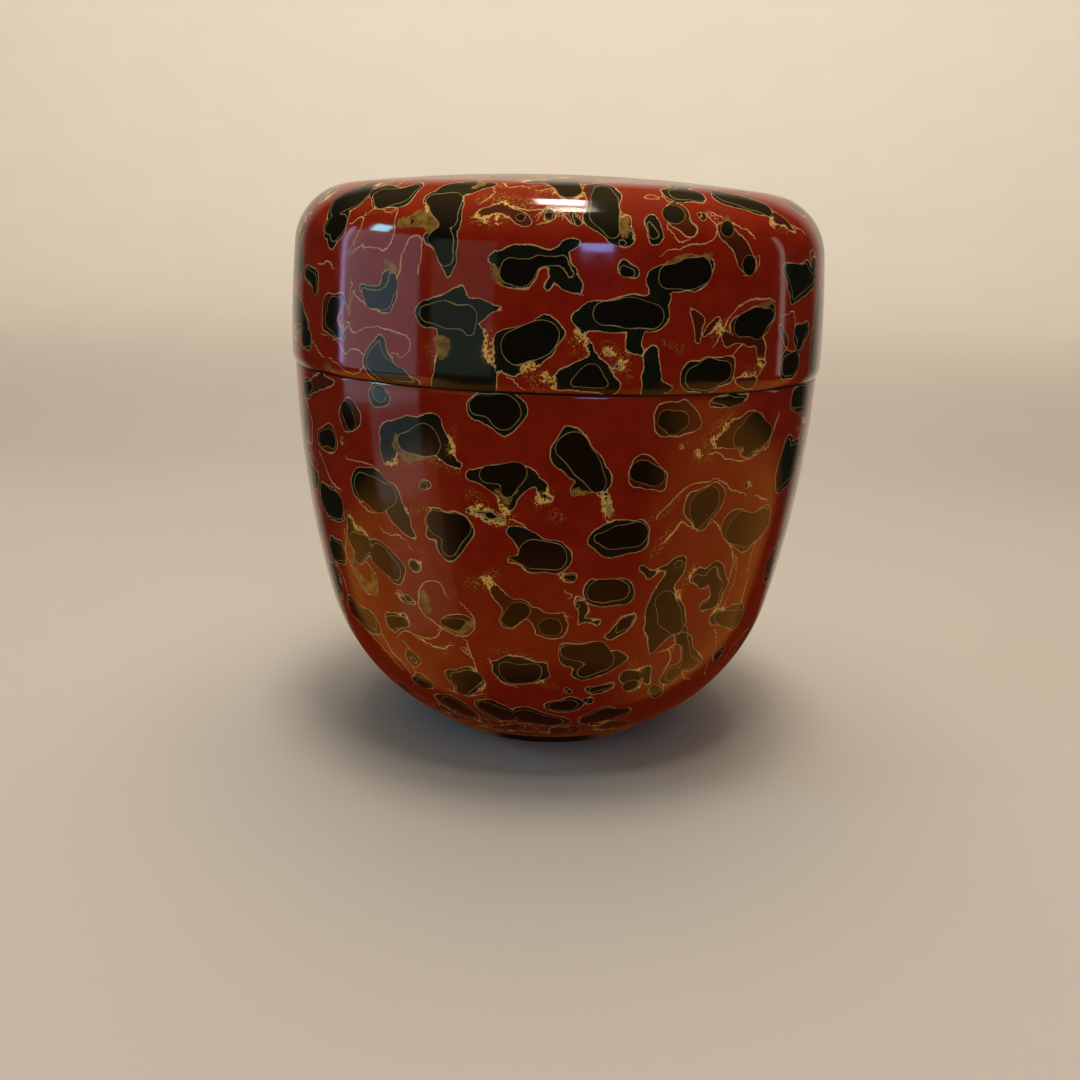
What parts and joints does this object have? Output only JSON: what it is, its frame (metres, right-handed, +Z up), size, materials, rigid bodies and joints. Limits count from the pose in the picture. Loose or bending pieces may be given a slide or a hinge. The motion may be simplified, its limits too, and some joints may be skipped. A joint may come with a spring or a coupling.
{
  "type": "tea caddy",
  "caption": "Round lidded natsume tea caddy in variegated red, black, green and gold lacquer, with a lift-off lid that slides on a turned collar.",
  "frame": {"origin": "centre of the foot ring's face, on the axis, at the surface the caddy stands on", "axes": "+Z up along the turning axis, through the lid; -Y is the side seen in the picture"},
  "size_m": [0.066, 0.066, 0.069],
  "materials": {
    "pattern_lacquer": "polished",
    "black_lacquer": "polished",
    "clay_ground": "matte",
    "hemp_cloth": "woven",
    "wood": "turned"
  },
  "bodies": {
    "body": {"body_core": "wood", "body_rim_cloth": "hemp_cloth", "body_foot_cloth": "hemp_cloth", "body_ground": "clay_ground", "body_pattern_lacquer": "pattern_lacquer", "body_lining": "black_lacquer", "foot_lacquer": "black_lacquer"},
    "lid": {"lid_core": "wood", "lid_rim_cloth": "hemp_cloth", "lid_ground": "clay_ground", "lid_pattern_lacquer": "pattern_lacquer", "lid_lining": "black_lacquer"}
  },
  "joints": [
    {"name": "lid_lift", "type": "slide", "parent": "body", "child": "lid", "axis": [0, 0, 1], "range_m": [0, 0.045]}
  ]
}
